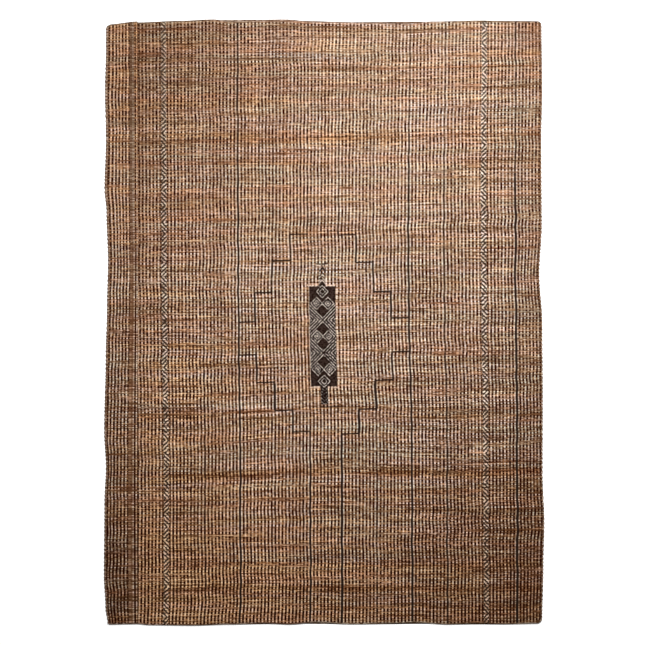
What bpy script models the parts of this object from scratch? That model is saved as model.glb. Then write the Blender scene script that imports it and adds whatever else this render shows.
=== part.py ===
"""A flat-woven jute rug: a main panel with a narrow strip lapped over its left side.

The rug lies face up. +X runs across it, +Y along its ribs and +Z up. The origin is on
the floor under the middle of the rug. All sizes are in metres unless a name says
otherwise.

Each cloth is first thought of as straight. Its points stand on columns, which run along
the ribs, and on rows, which run across them. The straight cloth is then laid as it
really lies: its sides and ends are drawn in here and there, its ribs lean a little and
its corners are round.
"""

import math
from dataclasses import dataclass

import bmesh
import bpy

# The whole rug, as wide and as long as it is anywhere
RUG_WIDTH = 1.760
RUG_LENGTH = 2.424
THICKNESS = 0.0085

# The ribs, the rounded selvedges at the sides and the smooth bands woven without ribs
RIB_DEPTH = 0.0022
MAIN_RIBS = 114
STRIP_RIBS = 6
SELVEDGE = 0.0045
EDGE_HEIGHT = 0.0045
SELVEDGE_HEIGHT = 0.0072
BAND_HEIGHT = 0.0078

# The hem at both ends is a plain lip, and the ribs start behind it
HEM_LIP = 0.005
HEM_HEIGHT = 0.0062
RIBS_START = 0.011

# Places across the straight rug: the strip's ribs, its smooth band and its last rib
STRIP_RIBS_START = -0.8670
STRIP_RIBS_END = -0.7830
STRIP_BAND_END = -0.7610
STRIP_LAST_GROOVE = -0.7565
STRIP_LAST_CREST = -0.7490
STRIP_EDGE = -0.7425

# The main panel's pressed margin goes under the strip's last rib
MAIN_EDGE = -0.7600
PRESSED_HEIGHT = 0.0040
MAIN_RIBS_START = -0.7376
MAIN_RIBS_END = 0.8700
GAP = 0.0003
CUTTER_WIDTH = 0.060

# The strip lies a little further up than the main panel at both ends
STRIP_SHIFT = 0.004

# Bands of slanting stitches, each in the place of two ribs: the groove it starts at
STITCHED_BANDS = (6, 97)
BAND_RIBS = 2

# The lattice panel in the middle is smooth: its middle across, half width and two ends
LATTICE_X = -0.0023
LATTICE_HALF_WIDTH = 0.0532
LATTICE_TOP = 0.144
LATTICE_BOTTOM = -0.256
LATTICE_RIM = 0.003

# Rows between the hems and the lattice panel, and inside the panel's length
ROWS_BELOW = 5
ROWS_INSIDE = 2
ROWS_ABOVE = 5

# How the cloth lies. The swells are long low waves: depth, then turns per metre across
# and along. A corner's key is 1 for the right or top side and -1 for the left or bottom.
LEAN = 0.008
SIDE_REACH = 0.160
END_REACH = 0.250
SWELL_DEPTH = 0.0004
SWELLS = ((1.4, 0.6), (-0.8, 2.7))
CORNER_RADIUS = {(-1, -1): 0.009, (1, -1): 0.022, (-1, 1): 0.022, (1, 1): 0.018}

# How far each edge is drawn in: share of the way along it, then millimetres.
# The sides run from bottom to top, and the ends from left to right.
LEFT_DRAW_MM = (
    (0.00, 8), (0.08, 0), (0.20, 2), (0.26, 8), (0.32, 1), (0.44, 7), (0.52, 12),
    (0.60, 16), (0.68, 10), (0.72, 2), (0.80, 8), (0.88, 4), (0.95, 8), (1.00, 8),
)
RIGHT_DRAW_MM = (
    (0.00, 9), (0.10, 4), (0.17, 0), (0.25, 7), (0.38, 6), (0.50, 8), (0.58, 20),
    (0.66, 10), (0.80, 12), (0.88, 8), (1.00, 11),
)
BOTTOM_DRAW_MM = (
    (0.00, 0), (0.08, 2), (0.20, 0), (0.28, 4), (0.36, 8), (0.42, 4), (0.48, 12),
    (0.56, 5), (0.65, 8), (0.70, 12), (0.78, 4), (0.84, 8), (0.90, 5), (1.00, 8),
)
TOP_DRAW_MM = (
    (0.00, 12), (0.08, 12), (0.17, 6), (0.25, 0), (0.29, 7), (0.34, 4), (0.41, 0),
    (0.48, 8), (0.60, 12), (0.68, 16), (0.75, 8), (0.86, 4), (0.92, 6), (1.00, 7),
)

JUTE = (0.30, 0.19, 0.12)
STRIP_JUTE = (0.26, 0.16, 0.10)
JUTE_ROUGHNESS = 0.9


@dataclass(frozen=True)
class Column:
    """A line of points along the cloth: its place across, its height, and if it is woven.

    A column that isn't woven belongs to the pressed margin and keeps its height.
    """

    x: float
    height: float
    woven: bool = True


@dataclass(frozen=True)
class Row:
    """A line of points across the cloth: its place along, and what the ribs do there."""

    y: float
    kind: str = "ribs"


def drawn_in(table, share):
    """Read a table of draws at a share of the way along its edge, in metres."""
    for (start, draw), (end, next_draw) in zip(table, table[1:]):
        if share <= end:
            step = (share - start) / (end - start)
            ease = step * step * (3.0 - 2.0 * step)
            return (draw + (next_draw - draw) * ease) / 1000.0
    return table[-1][1] / 1000.0


def pull(distance, reach):
    """How much of an edge's draw is felt at a distance from it: 1 at the edge, then 0."""
    return max(1.0 - distance / reach, 0.0) ** 2


def rounded(x, y):
    """Move a point of the straight rug so that the rug's square corners become round."""
    side = 1 if x > 0.0 else -1
    end = 1 if y > 0.0 else -1
    radius = CORNER_RADIUS[side, end]
    out_x = side * x - (RUG_WIDTH / 2 - radius)
    out_y = end * y - (RUG_LENGTH / 2 - radius)
    if out_x <= 0.0 or out_y <= 0.0:
        return x, y
    inward = 1.0 - max(out_x, out_y) / math.hypot(out_x, out_y)
    return x - side * out_x * inward, y - end * out_y * inward


def laid(x, y):
    """Take a point of the straight rug to where it lies on the floor."""
    across = x / RUG_WIDTH + 0.5
    along = y / RUG_LENGTH + 0.5
    left = pull(x + RUG_WIDTH / 2, SIDE_REACH)
    right = pull(RUG_WIDTH / 2 - x, SIDE_REACH)
    bottom = pull(y + RUG_LENGTH / 2, END_REACH)
    top = pull(RUG_LENGTH / 2 - y, END_REACH)
    x, y = rounded(x, y)
    x += left * drawn_in(LEFT_DRAW_MM, along) - right * drawn_in(RIGHT_DRAW_MM, along)
    x += LEAN * (0.5 - along) * (1.0 - left) * (1.0 - right)
    y += bottom * drawn_in(BOTTOM_DRAW_MM, across) - top * drawn_in(TOP_DRAW_MM, across)
    return x, y


def rib_columns(start, end, count, smooth=()):
    """Columns of evenly spaced ribs: a groove first, then crest and groove by turns.

    The steps named in smooth are half ribs that lie inside a band woven without ribs.
    """
    half_pitch = (end - start) / (2 * count)
    columns = []
    for step in range(2 * count + 1):
        height = THICKNESS if step % 2 else THICKNESS - RIB_DEPTH
        if step in smooth:
            height = BAND_HEIGHT
        columns.append(Column(start + step * half_pitch, height))
    return columns


def main_columns():
    """The main panel: its pressed left margin, its ribs and its right selvedge."""
    right = RUG_WIDTH / 2
    pressed = [
        Column(MAIN_EDGE, PRESSED_HEIGHT * 0.8, woven=False),
        Column(MAIN_EDGE + SELVEDGE, PRESSED_HEIGHT, woven=False),
        Column(MAIN_RIBS_START - 3 * GAP, PRESSED_HEIGHT, woven=False),
    ]
    smooth = [2 * groove + step for groove in STITCHED_BANDS for step in range(1, 2 * BAND_RIBS)]
    ribs = rib_columns(MAIN_RIBS_START, MAIN_RIBS_END, MAIN_RIBS, smooth)
    selvedge = [Column(right - SELVEDGE, SELVEDGE_HEIGHT), Column(right, EDGE_HEIGHT)]
    return pressed + ribs + selvedge


def strip_columns():
    """The side strip: its left selvedge, its ribs, its smooth band and its last rib."""
    left = -RUG_WIDTH / 2
    groove = THICKNESS - RIB_DEPTH
    selvedge = [Column(left, EDGE_HEIGHT), Column(left + SELVEDGE, SELVEDGE_HEIGHT)]
    ribs = rib_columns(STRIP_RIBS_START, STRIP_RIBS_END, STRIP_RIBS)
    band_middle = (STRIP_RIBS_END + STRIP_BAND_END) / 2
    margin = [
        Column(band_middle, BAND_HEIGHT),
        Column(STRIP_BAND_END, BAND_HEIGHT),
        Column(STRIP_LAST_GROOVE, groove),
        Column(STRIP_LAST_CREST, THICKNESS),
        Column(STRIP_EDGE, groove),
    ]
    return selvedge + ribs + margin


def spaced(start, end, count):
    """Evenly spaced places strictly between two others."""
    return [start + (end - start) * (i + 1) / (count + 1) for i in range(count)]


def cloth_rows(with_lattice):
    """Rows from the bottom end to the top end, closer together where a form starts."""
    end = RUG_LENGTH / 2
    bottom = [Row(-end, "edge"), Row(-end + HEM_LIP, "hem"), Row(-end + RIBS_START)]
    top = [Row(end - RIBS_START), Row(end - HEM_LIP, "hem"), Row(end, "edge")]
    below = spaced(bottom[-1].y, LATTICE_BOTTOM, ROWS_BELOW)
    inside = spaced(LATTICE_BOTTOM, LATTICE_TOP, ROWS_INSIDE)
    above = spaced(LATTICE_TOP, top[0].y, ROWS_ABOVE)
    middle = [Row(y) for y in below]
    if with_lattice:
        middle.append(Row(LATTICE_BOTTOM - LATTICE_RIM))
        middle.extend(Row(y, "lattice") for y in [LATTICE_BOTTOM] + inside + [LATTICE_TOP])
        middle.append(Row(LATTICE_TOP + LATTICE_RIM))
    else:
        middle.extend(Row(y) for y in [LATTICE_BOTTOM] + inside + [LATTICE_TOP])
    middle.extend(Row(y) for y in above)
    return bottom + middle + top


def swell(x, y):
    """How far the cloth's face lies below its full height in the long low waves."""
    waves = [math.sin(math.tau * (x * turns_x + y * turns_y)) for turns_x, turns_y in SWELLS]
    return SWELL_DEPTH * (1.0 - sum(waves) / len(waves))


def face_height(column, row):
    """Height of the cloth's face where a column meets a row."""
    if not column.woven:
        return column.height
    if row.kind == "edge":
        return EDGE_HEIGHT
    if row.kind == "hem":
        return min(column.height, HEM_HEIGHT)
    if row.kind == "lattice" and abs(column.x - LATTICE_X) < LATTICE_HALF_WIDTH:
        return BAND_HEIGHT
    return column.height - swell(column.x, row.y)


def woven_cloth(name, columns, rows, shift_y, collection):
    """A closed sheet: a grid moved to the woven face, its rim dropped to the floor."""
    cloth = bmesh.new()
    bmesh.ops.create_grid(
        cloth, x_segments=len(columns) - 1, y_segments=len(rows) - 1, size=0.5
    )
    for vert in cloth.verts:
        column = columns[round((vert.co.x + 0.5) * (len(columns) - 1))]
        row = rows[round((vert.co.y + 0.5) * (len(rows) - 1))]
        x, y = laid(column.x, row.y)
        vert.co = (x, y + shift_y, face_height(column, row))
    rim = [edge for edge in cloth.edges if edge.is_boundary]
    dropped = bmesh.ops.extrude_edge_only(cloth, edges=rim)["geom"]
    for item in dropped:
        if isinstance(item, bmesh.types.BMVert):
            item.co.z = 0.0
    floor_edges = [edge for edge in cloth.edges if edge.is_boundary]
    bmesh.ops.contextual_create(cloth, geom=floor_edges)
    bmesh.ops.recalc_face_normals(cloth, faces=cloth.faces)
    mesh = bpy.data.meshes.new(name)
    cloth.to_mesh(mesh)
    cloth.free()
    piece = bpy.data.objects.new(name, mesh)
    collection.objects.link(piece)
    return piece


def lap_cutter(collection):
    """The box under the strip's last rib, where the main panel's pressed margin lies."""
    near = MAIN_EDGE - LEAN / 2 - GAP
    height = PRESSED_HEIGHT + GAP
    bpy.ops.mesh.primitive_cube_add(size=1.0)
    cutter = bpy.context.active_object
    cutter.name = "lap_cutter"
    cutter.scale = (CUTTER_WIDTH, 1.1 * RUG_LENGTH, 2.0 * height)
    cutter.location = (near + CUTTER_WIDTH / 2, 0.0, 0.0)
    cutter.hide_render = True
    cutter.display_type = "WIRE"
    for owner in list(cutter.users_collection):
        owner.objects.unlink(cutter)
    collection.objects.link(cutter)
    return cutter


def centre_on_origin(pieces):
    """Shift the meshes together so that the rug's box is centred over the origin."""
    points = [vert.co for piece in pieces for vert in piece.data.vertices]
    middle_x = (min(p.x for p in points) + max(p.x for p in points)) / 2
    middle_y = (min(p.y for p in points) + max(p.y for p in points)) / 2
    for point in points:
        point.x -= middle_x
        point.y -= middle_y


def cloth_material(name, colour):
    """A rough, matt finish in the cloth's mean colour."""
    material = bpy.data.materials.new(name)
    material.use_nodes = True
    shader = material.node_tree.nodes["Principled BSDF"]
    shader.inputs["Base Color"].default_value = (*colour, 1.0)
    shader.inputs["Roughness"].default_value = JUTE_ROUGHNESS
    shader.inputs["Metallic"].default_value = 0.0
    return material


def new_collection(name):
    """A collection linked to the scene."""
    collection = bpy.data.collections.new(name)
    bpy.context.scene.collection.children.link(collection)
    return collection


def main():
    """Build the rug's two cloths."""
    for old in list(bpy.data.objects):
        bpy.data.objects.remove(old)
    rug = new_collection("jute_rug")
    cutters = new_collection("cutters")

    main_panel = woven_cloth("main_panel", main_columns(), cloth_rows(True), 0.0, rug)
    main_panel.data.materials.append(cloth_material("jute_main", JUTE))

    side_strip = woven_cloth(
        "side_strip", strip_columns(), cloth_rows(False), STRIP_SHIFT, rug
    )
    side_strip.data.materials.append(cloth_material("jute_strip", STRIP_JUTE))
    centre_on_origin([main_panel, side_strip])

    lap = side_strip.modifiers.new("lap", "BOOLEAN")
    lap.operation = "DIFFERENCE"
    lap.solver = "EXACT"
    lap.object = lap_cutter(cutters)


main()
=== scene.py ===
"""Looks of the jute rug: its ribbed cloth, design yarns, lapped strip, hems and selvedges.

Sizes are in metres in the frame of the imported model: +X runs across the rug, +Y along its
ribs and +Z up. Each cloth is first laid out straight, on ribs and wefts, and is then laid
as it really lies.
"""

import logging
from dataclasses import dataclass, field
from enum import Enum
from functools import cached_property, reduce
from typing import Optional, Sequence

import bpy
import numpy as np
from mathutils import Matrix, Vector


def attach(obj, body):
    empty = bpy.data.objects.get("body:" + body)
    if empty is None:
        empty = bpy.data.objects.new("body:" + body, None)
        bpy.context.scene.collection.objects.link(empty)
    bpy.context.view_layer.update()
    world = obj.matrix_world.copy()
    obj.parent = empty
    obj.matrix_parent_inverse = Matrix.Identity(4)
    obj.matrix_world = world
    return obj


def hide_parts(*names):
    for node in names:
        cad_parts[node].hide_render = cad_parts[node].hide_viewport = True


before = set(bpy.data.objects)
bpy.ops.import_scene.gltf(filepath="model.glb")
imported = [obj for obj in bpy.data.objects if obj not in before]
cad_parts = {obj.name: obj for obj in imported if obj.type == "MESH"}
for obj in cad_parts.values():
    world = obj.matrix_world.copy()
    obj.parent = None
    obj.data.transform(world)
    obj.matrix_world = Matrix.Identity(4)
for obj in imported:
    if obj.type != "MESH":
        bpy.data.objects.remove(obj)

Array = np.ndarray
Colour = tuple[float, float, float]
log = logging.getLogger("jute_rug")

MM = 0.001
HALF_LENGTH = 1.212
RIB_PITCH = 0.0141
WEFT_PITCH = 0.0069
RIBS_FROM_END = 0.011
LATTICE_RIB = 52.29
DESIGN_YARN = 0.0040
HALF_TURN, FULL_TURN = 3.14159, 6.2832


def eased(step: Array) -> Array:
    """Smooth step of a share s that is held between 0 and 1: 3 s² - 2 s³."""
    held = np.clip(step, 0.0, 1.0)
    return held * held * (3.0 - 2.0 * held)


@dataclass(frozen=True)
class Unevenness:
    """Seeded smooth unevenness over two coordinates, from about -1 to 1.

    Args:
        seed: picks the random numbers.
        cell: distance between two random numbers along each coordinate.
    """

    seed: int
    cell: tuple[float, float] = (1.0, 1.0)
    side: int = 512

    @cached_property
    def numbers(self) -> Array:
        """A square table of random numbers, used over and over."""
        return np.random.default_rng(self.seed).uniform(-1.0, 1.0, (self.side, self.side))

    def at(self, a: Array, b: Array) -> Array:
        """The numbers at the four corners of the cell, blended by smooth steps.

        Args:
            a: first coordinate.
            b: second coordinate.

        Returns:
            The unevenness at each pair of coordinates.
        """
        a, b = np.broadcast_arrays(np.asarray(a, float) / self.cell[0], b / self.cell[1])
        low_a, low_b = np.floor(a), np.floor(b)
        i, j = low_a.astype(int) % self.side, low_b.astype(int) % self.side
        i_next, j_next = (i + 1) % self.side, (j + 1) % self.side
        s, t = eased(a - low_a), eased(b - low_b)
        near = self.numbers[i, j] * (1.0 - s) + self.numbers[i_next, j] * s
        far = self.numbers[i, j_next] * (1.0 - s) + self.numbers[i_next, j_next] * s
        return near * (1.0 - t) + far * t


# ---- How the rug lies


@dataclass(frozen=True)
class DrawTable:
    """How far one edge is drawn in: rows of share of the way along it, and millimetres."""

    rows: tuple[tuple[float, float], ...]

    def at(self, share: Array) -> Array:
        """The draw in metres at shares of the way along: smooth steps between the rows."""
        shares, draws = np.array(self.rows, float).T
        row = np.clip(np.searchsorted(shares, share) - 1, 0, len(shares) - 2)
        step = (share - shares[row]) / (shares[row + 1] - shares[row])
        return (draws[row] + (draws[row + 1] - draws[row]) * eased(step)) * MM


@dataclass(frozen=True)
class RugLay:
    """Takes points of the straight rug to where they lie on the floor."""

    width: float = 1.760
    length: float = 2 * HALF_LENGTH
    lean: float = 0.008
    side_reach: tuple[float, float] = (0.160, 0.240)
    end_reach: float = 0.250
    swell_depth: float = 0.0004
    swells: tuple[tuple[float, float], ...] = ((1.4, 0.6), (-0.8, 2.7))
    middle: tuple[float, float] = (-0.00083, 0.0)
    left: DrawTable = DrawTable((
        (0.00, 15), (0.03, 6), (0.08, 0), (0.20, 2), (0.26, 8), (0.32, 1), (0.44, 7), (0.52, 12),
        (0.60, 16), (0.68, 10), (0.72, 2), (0.80, 8), (0.88, 4), (0.95, 8), (1.00, 8),
    ))
    right: DrawTable = DrawTable((
        (0.00, 9), (0.10, 4), (0.17, 0), (0.25, 7), (0.38, 6), (0.50, 8), (0.58, 20),
        (0.66, 10), (0.80, 12), (0.88, 8), (1.00, 11),
    ))
    bottom: DrawTable = DrawTable((
        (0.00, 0), (0.08, 2), (0.20, 0), (0.28, 4), (0.36, 8), (0.42, 4), (0.48, 12),
        (0.56, 5), (0.65, 8), (0.70, 12), (0.78, 4), (0.84, 8), (0.90, 5), (1.00, 8),
    ))
    top: DrawTable = DrawTable((
        (0.00, 24), (0.08, 12), (0.17, 6), (0.25, 0), (0.29, 7), (0.34, 4), (0.41, 0),
        (0.48, 8), (0.60, 12), (0.68, 16), (0.75, 8), (0.86, 4), (0.92, 6), (1.00, 7),
    ))
    corners: tuple[tuple[int, int, float], ...] = (
        (-1, -1, 0.009), (1, -1, 0.022), (-1, 1, 0.022), (1, 1, 0.018),
    )

    def rounded(self, x: Array, y: Array) -> tuple[Array, Array]:
        """Moves points near a square corner onto nested rounded corners."""
        for side, end, radius in self.corners:
            out_x = side * x - (self.width / 2 - radius)
            out_y = end * y - (self.length / 2 - radius)
            inside = (out_x > 0.0) & (out_y > 0.0)
            reach = np.where(inside, np.hypot(out_x, out_y), 1.0)
            inward = np.where(inside, 1.0 - np.maximum(out_x, out_y) / reach, 0.0)
            x, y = x - side * out_x * inward, y - end * out_y * inward
        return x, y

    def place(self, x: Array, y: Array, shift_y: float = 0.0) -> tuple[Array, Array]:
        """Draws the edges in, leans the ribs and rounds the corners.

        Each edge's draw fades as the square of what is left of its reach.

        Args:
            x: place across the straight rug.
            y: place along the straight rug.
            shift_y: how far the whole cloth lies up the rug.

        Returns:
            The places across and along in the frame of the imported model.
        """
        across, along = x / self.width + 0.5, y / self.length + 0.5
        near = [
            np.clip(1.0 - distance / reach, 0.0, None) ** 2
            for distance, reach in (
                (x + self.width / 2, self.side_reach[0]),
                (self.width / 2 - x, self.side_reach[1]),
                (y + self.length / 2, self.end_reach),
                (self.length / 2 - y, self.end_reach),
            )
        ]
        x, y = self.rounded(x, y)
        x = x + near[0] * self.left.at(along) - near[1] * self.right.at(along)
        x = x + self.lean * (0.5 - along) * (1.0 - near[0]) * (1.0 - near[1])
        y = y + near[2] * self.bottom.at(across) - near[3] * self.top.at(across)
        return x - self.middle[0], y - self.middle[1] + shift_y

    def swell(self, x: Array, y: Array) -> Array:
        """How far the face lies below its full height in two long low waves."""
        waves = [np.sin(2 * np.pi * (x * turns_x + y * turns_y)) for turns_x, turns_y in self.swells]
        return self.swell_depth * (1.0 - sum(waves) / len(waves))


# ---- The weave


@dataclass
class Places:
    """Where the points of a cloth are, as arrays of rows and columns.

    rib counts ribs across, with a groove at each whole number. weft counts weft yarns
    along, with the middle of a yarn half way between whole numbers. x and y are on the
    straight rug, and laid_y is the place along on the floor.
    """

    rib: Array
    weft: Array
    x: Array
    y: Array
    laid_y: Array


@dataclass
class Yarns:
    """What the yarns do at each point.

    sink is how far the face lies below a rib's crest. tone is the yarn's lightness, with
    painted shade on the ribs' flanks and in part of the slow drift over the rug, and warmth
    goes from grey-green over tan to rust, both from 0 to 1. gap is how open the grooves
    are, late shifts their beads along, and dark tells how much of a design yarn shows.
    """

    sink: Array
    tone: Array
    warmth: Array
    gap: Array
    late: Array
    dark: Array

    def attributes(self) -> dict[str, Array]:
        """What the finish reads, by name."""
        return {name: getattr(self, name) for name in ("tone", "warmth", "gap", "late", "dark")}


@dataclass(frozen=True)
class Streak:
    """A run of darker, warmer weft yarns: its middle along the rug, its two ends across,
    its half height and how strong it is."""

    y: float
    x_from: float
    x_to: float
    half_height: float
    strength: float

    def at(self, p: Places) -> Array:
        """How much of the streak is at each point: full in its middle, smooth at its rim."""
        up = 1.3 - np.abs(p.y - self.y) / self.half_height
        along = np.minimum(p.x - self.x_from, self.x_to - p.x) / 0.08 + 0.5
        return self.strength * eased(up) * eased(along)


def hump(distance: Array) -> Array:
    """1 at distance 0, falling smoothly to 0 at distance 1: (1 - d²)²."""
    return np.clip(1.0 - distance * distance, 0.0, None) ** 2


@dataclass(frozen=True)
class Sway:
    """How far the ribs lie off straight over the whole rug, in metres across."""

    middle: float = -0.0110
    lower_left: float = 0.0055
    dent: float = -0.0060

    def at(self, x: Array, y: Array) -> Array:
        """A broad hump to the left right of the middle, a drift to the right below it on
        the left, and a narrow hump beside the stepped diamond. All fade out at the sides."""
        up = (y - 0.22) / np.where(y > 0.22, 1.10, 0.75)
        broad = hump((x - 0.33) / np.where(x > 0.33, 0.60, 0.70)) * hump(up)
        low = eased((0.45 - x) / 0.9) * eased((x + 0.79) / 0.03) * eased((0.05 - y) / 0.6)
        narrow = hump((x + 0.235) / 0.13) * hump((y - 0.15) / 0.35)
        end = eased((1.20 - np.abs(y)) / 0.10)
        return end * (self.middle * broad + self.lower_left * low + self.dent * narrow)


@dataclass(frozen=True)
class DyeAndShadeDrift:
    """Slow change of the yarns' tone and warmth over the rug: partly the yarns' dye and partly painted shade,
    where the light falls off towards the sides and the ends.

    Each row holds the factors of 1, x, y, x·y, x² and y², in metres.
    """

    tone: tuple[float, ...] = (0.0, 0.0, 0.0, 0.0, 0.0, 0.0)
    warmth: tuple[float, ...] = (0.0, 0.0, 0.0, 0.0, 0.0, 0.0)

    def at(self, factors: tuple[float, ...], x: Array, y: Array) -> Array:
        """The sum of the factors' terms at each point."""
        terms = (1.0, x, y, x * y, x * x, y * y)
        return sum(factor * term for factor, term in zip(factors, terms))


# Rows of strength, number, and the name and cell of each of the two coordinates.
Kinds = tuple[tuple[float, int, str, float, str, float], ...]


@dataclass(frozen=True)
class RibbedWeave:
    """Weft yarns that float over warp ribs and dive, two by two, in the grooves."""

    seed: int
    weft_pitch: float = WEFT_PITCH
    rib_sink: float = 0.0014
    gap_sink: float = 0.0026
    weft_sink: float = 0.0005
    openness: float = 0.0
    loosening: float = 0.16
    streaks: tuple[Streak, ...] = ()
    drift: DyeAndShadeDrift = DyeAndShadeDrift()
    sway: Sway = Sway()
    even_gap: float = 0.95
    uneven_gap: float = 0.06
    slip_rim: tuple[float, float] = (0.72, 0.12)
    slip_shuts: float = 0.65
    groove_rim: tuple[float, float] = (1.46, 0.215)
    bead_depth: float = 0.17
    plain_tone: float = 0.74
    plain_warmth: float = 0.50
    late_kinds: Kinds = ((0.50, 3, "groove", 5, "wefts", 3.2), (0.20, 16, "groove", 1, "wefts", 3))
    tone_kinds: Kinds = (
        (0.06, 9, "rib", 1, "y", 0.9), (0.05, 8, "x", 0.6, "weft", 1),
        (0.06, 19, "x", 0.9, "weft", 3), (0.03, 10, "x", 0.50, "y", 0.024),
    )
    warmth_kinds: Kinds = (
        (0.12, 11, "rib", 1, "y", 0.7), (0.16, 18, "rib", 5, "weft", 2),
        (0.18, 12, "x", 0.6, "weft", 1), (0.20, 13, "x", 0.9, "y", 0.035),
    )

    def chance(self, number: int, across: float, along: float) -> Unevenness:
        """One of the weave's own kinds of unevenness."""
        return Unevenness(self.seed * 100 + number, (across, along))

    def mixed(self, kinds: Kinds, axes: dict[str, Array]) -> Array:
        """Kinds of unevenness times their strengths, added up."""
        return sum(
            strength * self.chance(number, across, along).at(axes[first], axes[second])
            for strength, number, first, across, second, along in kinds
        )

    def bow(self, x: Array, y: Array) -> Array:
        """How far up the wefts lie off straight.

        They rise to the right, most near the top and below the middle, and have a broad
        hump below the middle and small waves. All of it fades out at both ends.
        """
        tilt = 0.0145 + 0.0090 * hump((y - 0.85) / 0.25) + 0.0050 * hump((y + 0.50) / 0.30)
        rise = tilt * eased((y + 1.08) / 0.55) * eased((1.19 - y) / 0.14) * (x + 0.81)
        mound = 0.0140 * hump((x + 0.02) / 0.50) * hump((y + 0.46) / 0.42)
        waves = 0.0016 * np.sin(5.7 * x - 3.1 * y) + 0.0016 * self.chance(1, 0.11, 0.09).at(x, y)
        return rise + mound + eased((1.17 - np.abs(y)) / 0.10) * waves

    def wander(self, rib: Array, y: Array) -> Array:
        """How far a rib lies off straight: a little on its own, and a little together with
        some tens of its neighbours, over some centimetres."""
        fade = eased((1.19 - np.abs(y)) / 0.08)
        own = 0.0007 * self.chance(2, 2.5, 0.070).at(rib, y)
        return fade * (own + 0.0021 * self.chance(17, 22, 0.040).at(rib, y))

    def yarns(self, p: Places) -> Yarns:
        """Works out the yarns at each point.

        A groove opens in beads, one between each two wefts that bridge it. Long gaps and
        slipped wefts, which hide the grooves over many ribs, come from unevenness.
        """
        groove, rib, weft = np.rint(p.rib), np.floor(p.rib), np.floor(p.weft)
        axes = {"groove": groove, "rib": rib, "weft": weft, "wefts": p.weft, "x": p.x, "y": p.y}
        near = np.abs(p.rib - groove)
        low_rib = 1.0 - np.sin(np.pi * (p.rib - rib))
        late = self.mixed(self.late_kinds, axes)
        bead = np.cos(np.pi * (p.weft - 0.5 + late))
        row = self.chance(5, 9, 1).at(p.rib, weft)
        run = self.chance(4, 1, 2.5).at(groove, p.weft)
        slip = eased((self.chance(6, 22, 1).at(p.rib, weft) - self.slip_rim[0]) / self.slip_rim[1])
        gap = self.even_gap + self.openness - self.loosening * p.y + self.uneven_gap * (run + row)
        gap = np.clip(gap, 0.0, 1.3) * (1.0 - self.slip_shuts * slip)
        deep = eased(self.groove_rim[0] - near / self.groove_rim[1])
        deep = deep * np.clip(gap - self.bead_depth * bead, 0.0, 1.1)

        # Painted shade: the tone falls on the ribs' flanks towards the grooves, with low_rib.
        tone = self.plain_tone + self.mixed(self.tone_kinds, axes) + 0.03 * row - 0.10 * low_rib
        warmth = self.plain_warmth + self.mixed(self.warmth_kinds, axes)
        tone, warmth = self.dyed_and_shaded(p, tone, warmth)
        slip_tone = self.chance(14, 20, 1).at(p.rib, weft)
        much = self.streaked(p, weft)
        tone = tone + slip * (0.10 * slip_tone - 0.30) - 0.20 * much
        warmth = warmth + slip * (0.12 - 0.24 * slip_tone) + 0.30 * much
        own = self.chance(7, 1, 1).at(rib, weft)
        between = 1.0 - np.abs(np.sin(np.pi * p.weft))
        sink = self.rib_sink * low_rib + self.gap_sink * deep
        sink = sink + self.weft_sink * (1.0 - slip) * between + 0.0002 * (1.0 - own)
        return Yarns(sink, tone, warmth, gap, late, np.zeros_like(gap))

    def dyed_and_shaded(self, p: Places, tone: Array, warmth: Array) -> tuple[Array, Array]:
        """Adds the slow changes over the rug: partly the yarns' dye and partly painted shade where the light
        falls off.

        The ribs left of the first stitched band are a little paler, and the top right
        corner and the lower right side are darker and warmer.
        """
        left = eased((-0.655 - p.x) / 0.02)
        corner = eased((p.x - 0.70) / 0.12) * eased((p.y - 1.0) / 0.12)
        side = eased((p.x - 0.25) / 0.35) * eased((-0.40 - p.y) / 0.45)
        tone = tone + self.drift.at(self.drift.tone, p.x, p.y)
        warmth = warmth + self.drift.at(self.drift.warmth, p.x, p.y)
        return tone + 0.035 * left - 0.07 * corner - 0.06 * side, warmth + 0.10 * (corner + side)

    def streaked(self, p: Places, weft: Array) -> Array:
        """How much of the streaks is at each point, uneven and stronger low down."""
        uneven = 0.75 + 0.5 * self.chance(15, 0.15, 1).at(p.x, weft)
        low = 1.0 + 0.25 * eased((0.1 - p.y) / 0.6)
        return uneven * low * sum(streak.at(p) for streak in self.streaks)


# ---- The design


class Sense(Enum):
    """Which way along the rug a finial points."""

    UP = 1
    DOWN = -1


@dataclass(frozen=True)
class WarpLine:
    """A dark warp yarn in one groove: how strong it is, and from where to where it shows."""

    groove: int
    strength: float
    y_from: float = -1.3
    y_to: float = 1.3
    rim: float = 0.003

    def draw(self, p: Places, yarns: Yarns) -> None:
        """Darkens the groove, and pales the ribs beside it.

        The yarn shows a little unevenly, less near the top and more low down, and the
        strongest yarns are wider.
        """
        near = np.abs(p.rib - self.groove)
        shown = eased((p.laid_y - self.y_from) / self.rim) * eased((self.y_to - p.laid_y) / self.rim)
        shown = shown * (0.87 + 0.20 * Unevenness(600 + self.groove, (1, 1.1)).at(0.0 * p.weft, p.weft))
        high, low = eased((p.laid_y - 0.35) / 0.5), eased((-0.45 - p.laid_y) / 0.3)
        shown = shown * (1.0 - 0.22 * high + 0.18 * low)
        spread = 1.45 + 2.0 * max(self.strength - 0.9, 0.0)
        line = self.strength * shown * eased(spread - near / 0.34)
        beside = self.strength * shown * eased(1.6 - near / 0.55)
        yarns.dark[:] = np.maximum(yarns.dark, line)
        yarns.warmth[:] -= 0.12 * beside
        yarns.tone[:] += 0.04 * beside


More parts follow.
